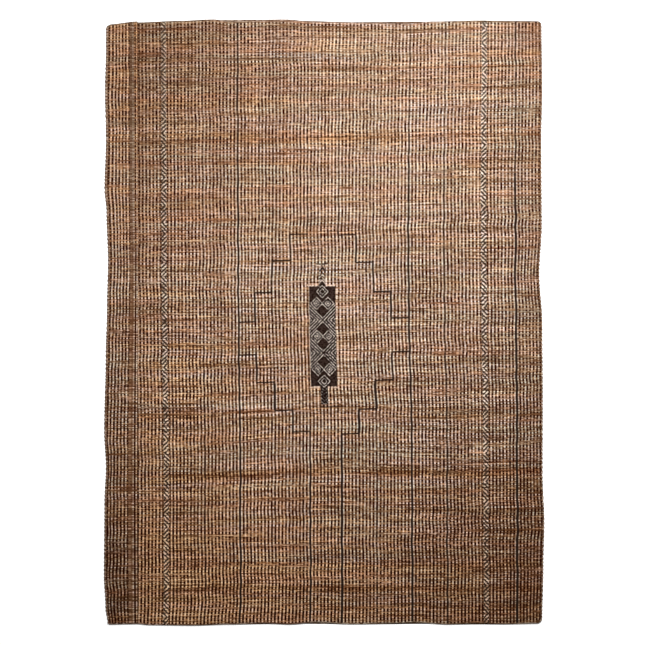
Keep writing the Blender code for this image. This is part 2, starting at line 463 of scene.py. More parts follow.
@dataclass(frozen=True)
class Step:
    """A dark weft that joins two grooves across the ribs."""

    y: float
    groove_from: float
    groove_to: float
    strength: float = 0.95

    def draw(self, p: Places, yarns: Yarns) -> None:
        """Darkens one thin line from groove to groove, which rises a little to the right."""
        middle = (self.groove_from + self.groove_to) / 2
        up = np.abs(p.laid_y - self.y - 0.0004 * (p.rib - middle))
        inside = np.minimum(p.rib - self.groove_from, self.groove_to - p.rib)
        line = eased(1.35 - up / 0.0036) * eased(inside / 0.25 + 1.0)
        yarns.dark[:] = np.maximum(yarns.dark, self.strength * line)


@dataclass(frozen=True)
class StitchedBand:
    """Slanting dark and light stitches in the place of two ribs, which turn back and forth."""

    groove: int
    seed: int
    ribs: int = 2
    margin: float = 0.20
    turn: float = 0.0585
    pitch: float = 0.017
    relief: float = 0.0004

    def phase(self, p: Places) -> Array:
        """Counts the stitches.

        The count is the place across plus a back-and-forth climb along the rug, over the
        stitches' pitch. The climb turns at places that are a little uneven.
        """
        turns = np.arange(-24, 25, dtype=float)
        uneven = np.random.default_rng(self.seed).uniform(-0.14, 0.14, len(turns))
        places = (turns + uneven) * self.turn
        climbs = np.concatenate([[0.0], np.cumsum(np.diff(places) * np.where(turns[1:] % 2, 1, -1))])
        across = (p.rib - self.groove) * RIB_PITCH
        return (across + np.interp(p.laid_y, places, climbs)) / self.pitch

    def inside(self, p: Places) -> Array:
        """1 inside the band and 0 outside, with a narrow rim."""
        middle = self.groove + self.ribs / 2
        return eased((self.ribs / 2 - self.margin - np.abs(p.rib - middle)) / 0.20 + 0.5)

    def draw(self, p: Places, yarns: Yarns) -> None:
        """Closes the grooves, lifts the stitches and makes the band browner low down."""
        inside = self.inside(p)
        waves = np.cos(2 * np.pi * self.phase(p))
        yarns.gap[:] *= 1.0 - inside
        yarns.dark[:] *= 1.0 - inside
        yarns.tone[:] += inside * 0.12
        brown = 0.30 + 0.30 * eased((0.1 - p.laid_y) / 0.8)
        yarns.warmth[:] += inside * (brown - yarns.warmth) * 0.6
        flat = 0.0007 + self.relief * waves
        yarns.sink[:] += inside * (flat - yarns.sink)


@dataclass(frozen=True)
class LatticePanel:
    """The dark panel in the middle, and the finial at each end, as far as they have a shape.

    Its own coordinates are millimetres across and along from its middle.
    """

    middle_rib: float = LATTICE_RIB
    y: float = -0.0555
    half_width: float = 0.0545
    half_length: float = 0.2000

    def own(self, p: Places) -> tuple[Array, Array]:
        """The panel's own coordinates of each point."""
        across = (p.rib - self.middle_rib) * RIB_PITCH / MM
        return across, (p.laid_y - self.y) / MM

    def ground(self, p: Places) -> Array:
        """Distance in millimetres into the dark ground of the panel, less than 0 outside."""
        a, b = self.own(p)
        panel = np.minimum(self.half_width / MM - np.abs(a), self.half_length / MM - np.abs(b))
        return np.maximum(panel, np.maximum(self.finial(a, b, Sense.UP), self.finial(a, b, Sense.DOWN)))

    def finial(self, a: Array, b: Array, sense: Sense) -> Array:
        """Distance in millimetres into the dark shapes beyond one end of the panel."""
        out = sense.value * b - self.half_length / MM
        wide = np.abs(a)
        if sense is Sense.DOWN:
            return np.minimum(15.0 - wide, np.minimum(out + 2.0, 72.0 - out))
        block = np.minimum(13.0 - wide, np.minimum(out + 2.0, 30.0 - out))
        small = np.minimum(0.9 * (50.0 - out) - wide, out - 38.0)
        large = np.minimum(0.85 * (out - 61.0) - wide, 78.0 - out)
        bar = np.minimum(25.0 - wide, 2.3 - np.abs(out - 86.5))
        return np.maximum(np.maximum(block, small), np.maximum(large, bar))

    def draw(self, p: Places, yarns: Yarns) -> None:
        """Closes the grooves on the panel, flattens it and greys its light yarns."""
        inside = eased(self.ground(p) / 3.0 + 0.5)
        yarns.gap[:] *= 1.0 - inside
        yarns.dark[:] *= 1.0 - inside
        yarns.sink[:] += inside * (0.0007 - yarns.sink)
        yarns.tone[:] += inside * (0.60 - yarns.tone) * 0.7
        yarns.warmth[:] += inside * (0.15 - yarns.warmth) * 0.7


@dataclass(frozen=True)
class Design:
    """Everything that is woven into the main panel's ribs."""

    lines: tuple[WarpLine, ...]
    steps: tuple[Step, ...]
    bands: tuple[StitchedBand, ...]
    panel: LatticePanel

    def draw(self, p: Places, yarns: Yarns) -> dict[str, Array]:
        """Draws the design over the plain weave.

        Returns:
            The design's own attributes by name: the stitches' count, where they are and
            how strong, and the distance along from the panel's middle in yarns of 4 mm.
        """
        for part in (*self.lines, *self.steps, *self.bands, self.panel):
            part.draw(p, yarns)
        stitch, stitched = np.zeros_like(yarns.gap), np.zeros_like(yarns.gap)
        for band in self.bands:
            inside = band.inside(p)
            stitch = np.where(inside > 0.0, band.phase(p), stitch)
            stitched = np.maximum(stitched, inside * (1.0 - 0.3 * eased((p.laid_y - 0.5) / 0.4)))
        return {
            "stitch": stitch,
            "stitched": stitched,
            "along": np.clip(self.panel.own(p)[1] * MM / DESIGN_YARN, -90.0, 90.0),
        }


# ---- Cloth meshes


def link(name: str, data: bpy.types.ID) -> bpy.types.Object:
    """Makes an object of some data and puts it into the scene."""
    made = bpy.data.objects.new(name, data)
    bpy.context.scene.collection.objects.link(made)
    return made


@dataclass
class ClothSurface:
    """The face and the underside of a cloth, as a closed profile carried along its rows.

    Args:
        top: points of the face, rows by columns by three.
        under: points of the underside from right to left, rows by a few by three.
        weave: rib and weft counts of the face's points.
        attributes: numbers of the face's points, by name.
    """

    top: Array
    under: Array
    weave: Array
    attributes: dict[str, Array] = field(default_factory=dict)
    folds: int = 3
    face_share: float = 0.74

    def faces(self) -> tuple[Array, Array]:
        """Corners of all faces in one row, and the number of corners of each face.

        A four-sided face joins two neighbours of the profile on two rows. The two ends
        are shut by one face each.
        """
        rows, ring = self.top.shape[0], self.top.shape[1] + self.under.shape[1]
        r, c = np.meshgrid(np.arange(rows - 1), np.arange(ring), indexing="ij")
        after = (c + 1) % ring
        quads = np.stack([r * ring + c, r * ring + after, (r + 1) * ring + after, (r + 1) * ring + c], -1)
        first, last = np.arange(ring)[::-1], np.arange(ring) + (rows - 1) * ring
        corners = np.concatenate([quads.ravel(), first, last])
        return corners, np.concatenate([np.full(quads.shape[0] * quads.shape[1], 4), [ring, ring]])

    def ring_values(self, face: Array) -> Array:
        """Numbers of the face's points, carried on round the underside by shares."""
        shares = np.linspace(1.0, 0.0, self.under.shape[1])
        under = [face[:, -1] * share + face[:, 0] * (1.0 - share) for share in shares]
        return np.concatenate([face, np.stack(under, axis=1)], axis=1)

    def bake_places(self) -> Array:
        """Places of every face's corners on a square map.

        The face is cut across into a few lengths that lie side by side and fill most of
        the square. The underside lies below them in the same way, at a smaller scale.
        """
        rows, columns = self.top.shape[:2]
        ring = columns + self.under.shape[1]
        x = self.top[:, :, 0].mean(axis=0)
        walls = np.concatenate([[x[0] - 0.006], x, [x[-1] + 0.006]])
        across = (walls - walls[0]) / (walls[-1] - walls[0])
        r, c = np.meshgrid(np.arange(rows - 1), np.arange(ring), indexing="ij")
        length = r * self.folds // (rows - 1)
        start = -(-length * (rows - 1) // self.folds)
        end = -(-(length + 1) * (rows - 1) // self.folds)
        low, high = (r - start) / (end - start), (r + 1 - start) / (end - start)
        is_under = (c >= columns) & (c < ring - 1)
        left = np.where(is_under, 1.0 - (c - columns) / (ring - 1 - columns), 0.0)
        right = np.where(is_under, 1.0 - (c + 1 - columns) / (ring - 1 - columns), 0.0)
        left = np.where(c < columns, across[np.minimum(c + 1, columns + 1)], left)
        right = np.where(c < columns, across[np.minimum(c + 2, columns + 1)], right)
        left = np.where(c == ring - 1, across[0], left)
        right = np.where(c == ring - 1, across[1], right)
        split = 1.0 - self.face_share
        base = np.where(is_under, 0.004, split + 0.006)
        tall = np.where(is_under, split - 0.012, self.face_share - 0.010)
        u = np.stack([left, right, right, left], -1)
        v = np.stack([low, low, high, high], -1)
        u = (length[..., None] + 0.004 + 0.992 * u) / self.folds
        v = base[..., None] + tall[..., None] * v
        quads = np.stack([u, v], -1).reshape(-1, 2)
        round_x = np.concatenate([across[1:-1], np.linspace(1.0, 0.0, ring - columns)])
        z = np.concatenate([self.top[0, :, 2], self.under[0, :, 2]])
        cap = np.stack([0.01 + 0.98 * round_x, split - 0.006 + 0.4 * z], -1)
        return np.concatenate([quads, cap[::-1], cap])

    def mesh(self, name: str) -> bpy.types.Mesh:
        """Makes the mesh, with its weave and bake maps and its attributes."""
        rows, columns = self.top.shape[:2]
        ring = columns + self.under.shape[1]
        points = np.concatenate([self.top, self.under], axis=1).reshape(-1, 3)
        corners, totals = self.faces()
        mesh = bpy.data.meshes.new(name)
        mesh.vertices.add(len(points))
        mesh.vertices.foreach_set("co", points.astype(np.float32).ravel())
        mesh.loops.add(len(corners))
        mesh.loops.foreach_set("vertex_index", corners.astype(np.int32))
        mesh.polygons.add(len(totals))
        starts = np.concatenate([[0], np.cumsum(totals)[:-1]]).astype(np.int32)
        mesh.polygons.foreach_set("loop_start", starts)
        smooth = np.zeros(len(totals), bool)
        smooth[:-2] = (np.arange((rows - 1) * ring) % ring) < columns - 1
        mesh.update(calc_edges=True)
        mesh.polygons.foreach_set("use_smooth", smooth)
        weave = np.stack([self.ring_values(self.weave[..., k]) for k in (0, 1)], -1)
        bake = self.bake_places()
        for layer, places in (("Weave", weave.reshape(-1, 2)[corners]), ("OFBake", bake)):
            uv = mesh.uv_layers.new(name=layer)
            uv.data.foreach_set("uv", places.astype(np.float32).ravel())
        for label, numbers in self.attributes.items():
            made = mesh.attributes.new(label, "FLOAT", "POINT")
            made.data.foreach_set("value", self.ring_values(numbers).astype(np.float32).ravel())
        mesh.update()
        return mesh


# ---- Finishes


@dataclass(frozen=True)
class Number:
    """A number in a node tree, which can be reckoned with as a plain one."""

    bench: "Bench"
    socket: bpy.types.NodeSocket

    def step(self, operation: str, *values: object) -> "Number":
        """One step of arithmetic that starts with this number."""
        return self.bench.math(operation, self, *values)

    def __add__(self, other: object) -> "Number":
        """The sum."""
        return self.step("ADD", other)

    def __sub__(self, other: object) -> "Number":
        """The difference."""
        return self.step("SUBTRACT", other)

    def __rsub__(self, other: object) -> "Number":
        """The difference, the other way round."""
        return self.bench.math("SUBTRACT", other, self)

    def __mul__(self, other: object) -> "Number":
        """The product."""
        return self.step("MULTIPLY", other)

    def __mod__(self, other: float) -> "Number":
        """What is left of a whole number of others, never negative."""
        return self.step("FLOORED_MODULO", other)

    def __abs__(self) -> "Number":
        """The size without the sign."""
        return self.step("ABSOLUTE")

    def least(self, *others: "Number") -> "Number":
        """The smallest of this and the others."""
        return reduce(lambda found, other: found.step("MINIMUM", other), others, self)

    def most(self, other: "Number") -> "Number":
        """The larger of this and the other."""
        return self.step("MAXIMUM", other)

    def floor(self) -> "Number":
        """The whole number below."""
        return self.step("FLOOR")

    def held(self) -> "Number":
        """The number held between 0 and 1."""
        return self.bench.math("ADD", self, 0.0, clamp=True)

    def between(self, low: float, high: float) -> "Number":
        """The smooth share of the way from low to high."""
        feeds = {"Value": self, "From Min": low, "From Max": high}
        node = self.bench.lay("ShaderNodeMapRange", feeds, interpolation_type="SMOOTHSTEP")
        return Number(self.bench, node.outputs[0])


class Bench:
    """Lays the nodes of one tree and joins them."""

    def __init__(self, tree: bpy.types.NodeTree) -> None:
        """Starts on a tree."""
        self.tree = tree

    def lay(self, kind: str, feeds: Optional[dict] = None, **settings: object) -> bpy.types.Node:
        """Adds a node.

        Args:
            kind: the node's type.
            feeds: what its inputs get, by name or number.
            settings: its own settings.

        Returns:
            The node.
        """
        node = self.tree.nodes.new(kind)
        for name, value in settings.items():
            setattr(node, name, value)
        self.feed_all(node.inputs, feeds or {})
        return node

    def feed_all(self, inputs: bpy.types.NodeInputs, feeds: dict) -> None:
        """Feeds some of a node's inputs, by name or number."""
        for key, value in feeds.items():
            self.feed(inputs[key], value)

    def feed(self, socket: bpy.types.NodeSocket, value: object) -> None:
        """Joins a socket to an input, or sets the input to a plain value."""
        if isinstance(value, Number):
            self.tree.links.new(value.socket, socket)
        elif isinstance(value, bpy.types.NodeSocket):
            self.tree.links.new(value, socket)
        elif isinstance(value, tuple) and len(value) == 3 and socket.type == "RGBA":
            socket.default_value = (*value, 1.0)
        else:
            socket.default_value = value

    def math(self, operation: str, *values: object, clamp: bool = False) -> Number:
        """One step of arithmetic."""
        feeds = dict(enumerate(values))
        node = self.lay("ShaderNodeMath", feeds, operation=operation, use_clamp=clamp)
        return Number(self, node.outputs[0])

    def mix(self, share: object, a: object, b: object, blend: str = "MIX") -> bpy.types.NodeSocket:
        """Mixes two colours by a share."""
        feeds = {0: share, 6: a, 7: b}
        return self.lay("ShaderNodeMix", feeds, data_type="RGBA", blend_type=blend).outputs[2]

    def ramp(self, share: object, stops: Sequence[tuple[float, Colour]]) -> bpy.types.NodeSocket:
        """A row of colours read by a share."""
        node = self.lay("ShaderNodeValToRGB", {0: share})
        while len(node.color_ramp.elements) < len(stops):
            node.color_ramp.elements.new(1.0)
        for element, (place, colour) in zip(node.color_ramp.elements, stops):
            element.position = place
            element.color = (*colour, 1.0)
        return node.outputs[0]

    def vector(self, x: object, y: object) -> bpy.types.NodeSocket:
        """A vector of two numbers."""
        return self.lay("ShaderNodeCombineXYZ", {0: x, 1: y}).outputs[0]

    def apart(self, vector: bpy.types.NodeSocket) -> tuple[Number, Number]:
        """The first two numbers of a vector."""
        node = self.lay("ShaderNodeSeparateXYZ", {0: vector})
        return Number(self, node.outputs[0]), Number(self, node.outputs[1])

    def chance(self, x: object, y: object) -> Number:
        """A random number from -0.5 to 0.5 for each pair of whole numbers."""
        feeds = {"Vector": self.vector(x, y)}
        node = self.lay("ShaderNodeTexWhiteNoise", feeds, noise_dimensions="2D")
        return Number(self, node.outputs["Value"]) - 0.5

    def noise(self, x: object, y: object, detail: float = 0.0) -> Number:
        """Smooth noise around 0, of about one swing in each whole number."""
        feeds = {"Vector": self.vector(x, y), "Scale": 1.0, "Detail": detail}
        node = self.lay("ShaderNodeTexNoise", feeds, noise_dimensions="2D")
        return (Number(self, node.outputs["Fac"]) - 0.5) * 2.0

    def read(self, name: str) -> Number:
        """A number that the mesh carries."""
        return Number(self, self.lay("ShaderNodeAttribute", attribute_name=name).outputs["Fac"])

    def read_all(self, *labels: str) -> dict[str, Number]:
        """The numbers that the mesh carries under the labels in small letters."""
        return {label: self.read(label.lower()) for label in labels}


@dataclass(frozen=True)
class Sockets:
    """Names of a node group's inputs and outputs, each with its kind."""

    inputs: tuple[tuple[str, str], ...]
    outputs: tuple[tuple[str, str], ...]

    def group(self, name: str) -> tuple[bpy.types.NodeTree, dict, dict]:
        """Makes the group with its two end nodes.

        Returns:
            The group, the numbers that give its inputs and the sockets that take its outputs.
        """
        tree = bpy.data.node_groups.new(name, "ShaderNodeTree")
        for label, kind in self.inputs:
            tree.interface.new_socket(label, in_out="INPUT", socket_type=kind)
        for label, kind in self.outputs:
            tree.interface.new_socket(label, in_out="OUTPUT", socket_type=kind)
        given = tree.nodes.new("NodeGroupInput")
        taken = tree.nodes.new("NodeGroupOutput")
        gives = {label: Number(Bench(tree), given.outputs[label]) for label, _ in self.inputs}
        takes = {label: taken.inputs[label] for label, _ in self.outputs}
        return tree, gives, takes


FLOAT, COLOUR, VECTOR = "NodeSocketFloat", "NodeSocketColor", "NodeSocketVector"


@dataclass(frozen=True)
class SpunFibre:
    """Fibres and twist of a weft yarn, as a group that reads the weave map."""

    fibre_length: float = 5.0
    fibre_width: float = 0.55
    twist_pitch: float = 5.5

    def group(self) -> bpy.types.NodeTree:
        """Fibres are noise drawn out along the yarn, and the twist is a slanting wave on
        each weft. The height adds the two up."""
        sockets = Sockets((("Weave", VECTOR),), (("Fibre", FLOAT), ("Twist", FLOAT), ("Height", FLOAT)))
        tree, gives, takes = sockets.group("spun_fibre")
        bench = Bench(tree)
        rib, weft = bench.apart(gives["Weave"].socket)
        x, y = rib * (RIB_PITCH / MM), weft * (WEFT_PITCH / MM)
        fibre = bench.noise(x * (1.0 / self.fibre_length), y * (1.0 / self.fibre_width), 3.0)
        twist = ((x * (1.0 / self.twist_pitch) + weft % 1.0) * FULL_TURN).step("SINE")
        bench.feed(takes["Fibre"], fibre)
        bench.feed(takes["Twist"], twist)
        bench.feed(takes["Height"], twist * 0.30 + fibre)
        return tree


@dataclass(frozen=True)
class JutePalette:
    """Colours of natural jute, from shaded to bleached, of the dark yarns, and of the painted shade in the
    grooves and their beads.
    """

    tones: tuple[tuple[float, Colour], ...] = (
        (0.00, (0.085, 0.040, 0.020)),
        (0.20, (0.180, 0.100, 0.060)),
        (0.36, (0.310, 0.200, 0.136)),
        (0.51, (0.455, 0.325, 0.242)),
        (0.71, (0.650, 0.512, 0.414)),
        (1.00, (0.910, 0.765, 0.645)),
    )
    tone_reach: float = 1.4
    hues: tuple[tuple[float, Colour], ...] = (
        (0.00, (0.86, 1.02, 1.12)),
        (0.50, (1.00, 1.00, 1.00)),
        (1.00, (1.14, 0.92, 0.70)),
    )
    greenish: Colour = (0.985, 1.015, 0.97)
    pinkish: Colour = (1.02, 0.98, 1.02)
    # Painted shade: tint of the rib yarn where it sinks into a groove.
    valley_shade: Colour = (0.55, 0.35, 0.16)
    shade: Colour = (0.019, 0.002, 0.0003)
    dark: Colour = (0.018, 0.009, 0.006)
    own_tone: float = 0.50
    row_tone: float = 0.43
    low_unevenness: float = 0.58
    bead_tone: float = 0.07
    valley_shade_rim: tuple[float, float] = (0.42, 0.17)
    groove_rim: tuple[float, float] = (0.37, 0.20)
    knot: float = 1.4
    ply: float = 1.9
    row_gap: float = 0.4
    # Painted shade at the bottom of a groove, between its beads.
    hollow_shade: Colour = (0.330, 0.155, 0.050)

    def group(self) -> bpy.types.NodeTree:
        """The tone picks the lightness and the warmth the hue. The grooves' painted shade, on
        their valley, in their hollow and as dark beads, and the dark design yarns are laid over them.

        Each strand of each rib has its own tone, rows of strands differ over some ribs,
        and now and then a strand bridges the grooves and shuts them.
        """
        floats = ("Tone", "Warmth", "Gap", "Late", "Dark", "Fibre", "Twist")
        inputs = tuple((label, FLOAT) for label in floats) + (("Weave", VECTOR),)
        tree, gives, takes = Sockets(inputs, (("Colour", COLOUR),)).group("jute_yarn_colour")
        bench = Bench(tree)
        fibre = gives["Fibre"]
        rib, weft = bench.apart(gives["Weave"].socket)
        near = rib.step("PINGPONG", 0.5) + fibre * 0.05
        place = weft + gives["Late"]
        wave = ((place - 0.5) * HALF_TURN).step("COSINE") * -1.0
        over = bench.noise(rib * 0.11 + 9.0, weft * 2.4 + 31.0).between(0.34, 0.50)
        open_gap = gives["Gap"] * (1.0 - over * 0.5) * (wave * 0.08 + 0.92)
        # Share of the groove's painted shade on the yarn that dips into it.
        valley_shade = (near.between(*self.valley_shade_rim) * open_gap).held()
        bead = self.bead(bench, gives["Gap"], rib, near, place, wave) * (1.0 - over)

        own = bench.chance(rib.floor(), (weft * 2.7).floor())
        row = bench.noise(rib * 0.045, weft * 2.5)
        uneven = weft.between(100.0, -60.0) * self.low_unevenness + 1.0
        tone = gives["Tone"] + (own * self.own_tone + row * self.row_tone) * uneven + wave * self.bead_tone
        bridge = bench.noise(rib * 0.03 + 3.0, weft * 1.1 + 7.0) * 0.4 - 0.28
        # The twist's slanting wave in the tone is painted shade between the plies.
        tone = tone + fibre * 0.18 + gives["Twist"] * 0.035 + over * bridge
        plain = bench.ramp(tone * (1.0 / self.tone_reach), self.tones)
        warmth = gives["Warmth"] + over * 0.3
        plain = bench.mix(1.0, plain, bench.ramp(warmth, self.hues), "MULTIPLY")
        tint = bench.noise(rib * 0.04 + 5.0, weft * 0.22) + bench.noise(rib * 0.45 + 5.0, weft * 0.7) * 0.3
        tint = tint.between(-0.40, 0.40)
        plain = bench.mix(1.0, plain, bench.mix(tint, self.greenish, self.pinkish), "MULTIPLY")
        # The groove's colour between its beads is painted shade, darker for darker yarns.
        hollow_shade = bench.mix(gives["Tone"], (0.0, 0.0, 0.0), self.hollow_shade)
        hollow_shade = bench.mix(0.7, hollow_shade, bench.mix(1.0, plain, self.valley_shade, "MULTIPLY"))
        shaded = bench.mix(valley_shade, plain, hollow_shade)
        shaded = bench.mix(bead, shaded, self.shade)
        dark = (gives["Dark"] + fibre * 0.20).between(0.15, 0.80)
        bench.feed(takes["Colour"], bench.mix(dark, shaded, self.dark))
        return tree

    def bead(
        self, bench: Bench, gap: Number, rib: Number, near: Number, place: Number, wave: Number
    ) -> Number:
        """How dark the bead in a groove is.

        The groove's openness, a wave along it, a random number of each bead and of each
        ply, and the unevenness of each row are added up and multiplied by the groove's
        cross-section.

        Args:
            bench: where the nodes are laid.
            gap: how open the groove is.
            rib: count of ribs across.
            near: distance to the nearest groove, in ribs.
            place: count of wefts along, shifted.
            wave: 1 in the middle of a bead and -1 between two.

        Returns:
            The share of the shade, from 0 to 1.
        """
        own = bench.chance(rib.step("ROUND"), ((place + 0.5) * 0.5).floor())
        ply = bench.chance(rib.step("ROUND") + 57.0, (place * 2.0).floor())
        row = bench.noise(rib * 0.30 + 3.0, place * 1.7 + 17.0)
        open_share = wave * 1.15 + gap * 2.4 - 1.56 + own * self.knot + ply * self.ply + row * self.row_gap
        return near.between(*self.groove_rim) * open_share.between(-0.35, 0.40)


@dataclass(frozen=True)
class JuteFinish:
    """A material of spun jute for one cloth."""

    name: str
    roughness: float = 0.88
    specular: float = 0.0
    bump: float = 0.55
    bump_height: float = 0.0004

    def material(
        self,
        palette: bpy.types.NodeTree,
        fibre: bpy.types.NodeTree,
        figure: Optional[bpy.types.NodeTree] = None,
    ) -> bpy.types.Material:
        """Wires the material.

        Args:
            palette: group that gives the yarns' colour.
            fibre: group that gives the fibres.
            figure: group that lays the stitched bands and the lattice panel over a
                colour, for the cloth that carries them.

        Returns:
            The material.
        """
        made = bpy.data.materials.new(self.name)
        made.use_nodes = True
        bench = Bench(made.node_tree)
        shader = made.node_tree.nodes["Principled BSDF"]
        weave = {"Weave": bench.lay("ShaderNodeUVMap", uv_map="Weave").outputs[0]}
        spun = bench.lay("ShaderNodeGroup", node_tree=fibre)
        bench.feed_all(spun.inputs, weave)
        twisted = {label: spun.outputs[label] for label in ("Fibre", "Twist")}
        yarn = bench.lay("ShaderNodeGroup", node_tree=palette)
        bench.feed_all(yarn.inputs, bench.read_all("Tone", "Warmth", "Gap", "Late", "Dark") | weave | twisted)
        colour = yarn.outputs["Colour"]
        if figure is not None:
            drawn = bench.lay("ShaderNodeGroup", node_tree=figure)
            bench.feed_all(drawn.inputs, {"Colour": colour, "Fibre": spun.outputs["Fibre"]} | weave)
            bench.feed_all(drawn.inputs, bench.read_all("Stitch", "Stitched", "Along"))
            colour = drawn.outputs["Colour"]
        feeds = {"Strength": self.bump, "Distance": self.bump_height, "Height": spun.outputs["Height"]}
        normal = bench.lay("ShaderNodeBump", feeds).outputs[0]
        shares = {"Roughness": self.roughness, "Specular IOR Level": self.specular}
        bench.feed_all(shader.inputs, {"Base Color": colour, "Normal": normal} | shares)
        return made


@dataclass(frozen=True)
class DesignYarns:
    """The dark yarns of the stitched bands and of the lattice panel, drawn over a colour.

    The lattice is drawn on its own two coordinates, counted in yarns of 4 mm from its
    middle. Its lines are diamonds and diagonals: sums and differences of the two
    coordinates that have one value.
    """

    middle_rib: float = LATTICE_RIB
    rib_yarns: float = RIB_PITCH / DESIGN_YARN
    half_width: float = 13.4
    half_length: float = 50.0
    cross: float = 16.5
    pair: float = 5.8
    single: float = 44.8
    line: tuple[float, float] = (0.35, 0.00)
    # How far the painted shade beside a light line reaches: full up to the first, gone past the second.
    edge: tuple[float, float] = (1.1, 2.8)
    pale: Colour = (0.960, 0.830, 0.730)
    # Painted shade beside the raised light lines, darker than the ground's own colour.
    shade_by_lines: Colour = (0.009, 0.004, 0.003)
    ground: Colour = (0.032, 0.019, 0.015)
    stitch: Colour = (0.022, 0.011, 0.006)
    dash: Colour = (0.62, 0.47, 0.36)

    def group(self) -> bpy.types.NodeTree:
        """Lays the dark stitches and then the lattice over the plain colour."""
        inputs = tuple((label, FLOAT) for label in ("Fibre", "Stitch", "Stitched", "Along"))
        inputs = (("Colour", COLOUR), ("Weave", VECTOR)) + inputs
        tree, gives, takes = Sockets(inputs, (("Colour", COLOUR),)).group("design_yarns")
        bench = Bench(tree)
        rib, weft = bench.apart(gives["Weave"].socket)
        rough = gives["Fibre"] * 0.5 + bench.noise(rib * 1.3, weft * 1.0) * 1.5
        wave = (gives["Stitch"] * FULL_TURN).step("COSINE") * 1.2 + rough
        stitch = (1.0 - wave.between(-0.02, 0.74)) * gives["Stitched"].between(0.2, 0.8)
        colour = bench.mix(stitch * 0.95, gives["Colour"], self.stitch)

        across = (rib - self.middle_rib) * self.rib_yarns
        along = gives["Along"] + bench.noise(across * 0.5, gives["Along"] * 0.5) * 0.35
        nearest = self.lattice(abs(across), abs(along)).least(self.finial_lines(abs(across), along))
        nearest = nearest + gives["Fibre"] * 0.35 + bench.noise(across * 0.8, along * 0.8 + 40.0) * 0.42
        mottle = bench.noise(across * 0.45, along * 0.6, 1.0).between(-0.35, 0.30)
        # Beside the light lines the dark ground turns black: painted shade over its own dark colour.
        ground = bench.mix(nearest.between(*self.edge) * mottle, self.shade_by_lines, self.ground)
        light = bench.mix(0.85, colour, self.pale)
        drawn = bench.mix(nearest.between(*self.line), ground, light)
        panel = (self.half_width - abs(across)).least(self.half_length - abs(along))
        inside = panel.most(self.lower_finial(abs(across), along)).between(-0.15, 0.25)
        inside = inside.most(self.upper_finial(bench, abs(across), along))
        colour = bench.mix(inside, colour, drawn)
        dashes = self.dashes(bench, abs(across), along)
        bench.feed(takes["Colour"], bench.mix(dashes, colour, self.dash))
        return tree

    def lattice(self, wide: Number, far: Number) -> Number:
        """Distance to the panel's nearest light line, with crosses between pairs of
        nested diamonds and a single nested diamond at each end.

        Args:
            wide: distance from the middle across.
            far: distance from the middle along.

        Returns:
            The distance, measured across and along together.
        """
        from_cross = abs(far - self.cross)
        side = wide - from_cross
        arms = abs(abs(side) - 1.65)
        nested = abs((side - 3.3) % 3.3 - 1.65) + side.between(3.5, 3.1) * 9.0
        pair = abs(wide - self.pair) + abs(from_cross - self.cross)
        outside = pair.between(6.9, 7.1) * 9.0
        rings = abs(pair - 6.1).least(abs(pair - 3.0), (pair - 0.7).most(0.0))
        arms = arms.least(nested) + (9.0 - outside)
        single = wide + abs(far - self.single)
        ends = abs(single - 6.1).least(abs(single - 3.0))
        return arms.least(rings + outside * 0.5, ends)

    def finial_lines(self, wide: Number, along: Number) -> Number:
        """Distance to the light chevrons of the lower finial, which point down."""
        down = (along + self.half_length) * -1.0
        chevrons = abs((down + wide - 2.675) % 3.45 - 1.725) + 0.2
        return chevrons + down.between(2.2, 1.6) * 9.0

    def lower_finial(self, wide: Number, along: Number) -> Number:
        """Distance into the lower finial: a narrow block below the panel."""
        return (3.7 - wide).least(along + 67.8, (along + 49.0) * -1.0)

    def upper_finial(self, bench: Bench, wide: Number, along: Number) -> Number:
        """Share of dark in the upper finial: a stack of chevrons that point up, and a bar.

        The chevrons are one row of dark and light read by the distance up from the
        panel plus the distance from the middle.
        """
        up = along - self.half_length
        rows = (
            (0.0, 1), (5.4, 1), (5.9, 0), (7.0, 0), (7.4, 1), (8.2, 1), (8.6, 0), (9.4, 0),
            (9.9, 1), (11.0, 1), (11.4, 0), (12.6, 0), (13.0, 1), (14.2, 1), (14.6, 0),
            (17.0, 0), (17.4, 1), (19.7, 1), (20.2, 0),
        )
        reach = 24.0
        stops = [(place / reach, (share, share, share)) for place, share in rows]
        stack = Number(bench, bench.ramp((up + wide * 1.1) * (1.0 / reach), stops))
        stack = stack * wide.between(3.6, 3.1) * up.between(-0.2, 0.2)
        bar = abs(up - 22.3).between(0.9, 0.4) * wide.between(6.6, 6.2)
        return stack.most(bar).held()

    def dashes(self, bench: Bench, wide: Number, along: Number) -> Number:
        """Light dashes just past both ends of the panel and under the finial's bar."""
        rim = abs(abs(along) - 51.0).between(0.9, 0.45) * wide.between(4.0, 4.6) * wide.between(15.5, 15.0)
        under = abs(along - 70.9).between(0.8, 0.4) * wide.between(2.6, 3.0) * wide.between(5.8, 5.4)
        broken = bench.noise(wide * 0.55 + 2.0, along * 0.1 + 8.0).between(-0.30, 0.05)
        return (rim.most(under) * broken * 0.85).held()


# ---- The rug's cloths


@dataclass(frozen=True)
class RowPlan:
    """Rows of points along a cloth: at every half weft, closer at the two hems."""

    weft_pitch: float = WEFT_PITCH
    half_length: float = HALF_LENGTH
    ribs_start: float = RIBS_FROM_END
    hem: tuple[float, ...] = (0.0078, 0.0050, 0.0022, 0.0, -0.0007)

    def places(self) -> Array:
        """All rows from the bottom end to the top end."""
        half = self.weft_pitch / 2
        count = int((self.half_length - self.ribs_start) / half)
        woven = half * np.arange(-count, count + 1)
        hem = self.half_length - np.array(self.hem)
        return np.sort(np.concatenate([woven, hem, -hem]))


